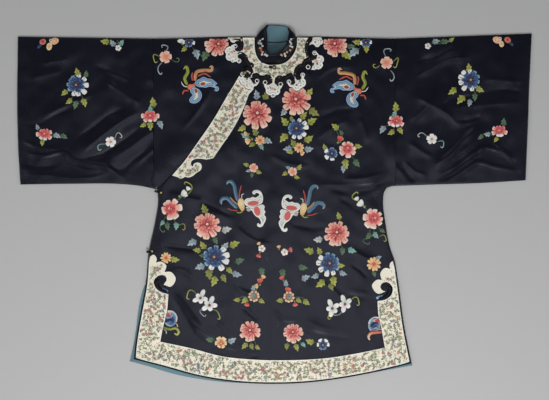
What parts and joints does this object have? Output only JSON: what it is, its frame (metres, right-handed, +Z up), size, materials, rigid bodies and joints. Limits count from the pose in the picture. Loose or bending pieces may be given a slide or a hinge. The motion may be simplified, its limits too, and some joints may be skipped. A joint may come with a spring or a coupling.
{
  "type": "side-fastening silk jacket",
  "caption": "Black satin side-fastening jacket with wide straight sleeves, stand collar and cream borders, laid flat and closed.",
  "frame": {"origin": "middle of the bounding box on the surface that the jacket lies on", "axes": "+X along the sleeves towards the wearer's left hand, +Y from the hem to the collar, +Z up from the surface out of the jacket's front"},
  "size_m": [1.4242, 0.9932, 0.0371],
  "materials": {
    "black_satin": "satin weave",
    "cream_silk": "embroidered silk",
    "teal_silk": "plain silk lining",
    "black_braid": "matte braid and cord",
    "brass": "gilt"
  },
  "bodies": {
    "root": {"back_panel": "black_satin", "back_border": "cream_silk", "back_lining": "teal_silk", "right_front": "black_satin", "main_front": "black_satin", "sleeve_right": "black_satin", "sleeve_left": "black_satin", "collar_band": "black_satin", "collar_lining": "teal_silk", "neck_border_left": "cream_silk", "neck_border_right": "cream_silk", "closing_border": "cream_silk", "slit_border_left": "cream_silk", "slit_border_right": "cream_silk", "hem_border": "cream_silk", "hem_binding": "black_braid", "button_neck": "brass", "button_collarbone": "brass", "button_armpit": "brass", "button_side": "brass", "loop_neck": "black_braid", "loop_collarbone": "black_braid", "loop_armpit": "black_braid", "loop_side": "black_braid"}
  },
  "joints": []
}
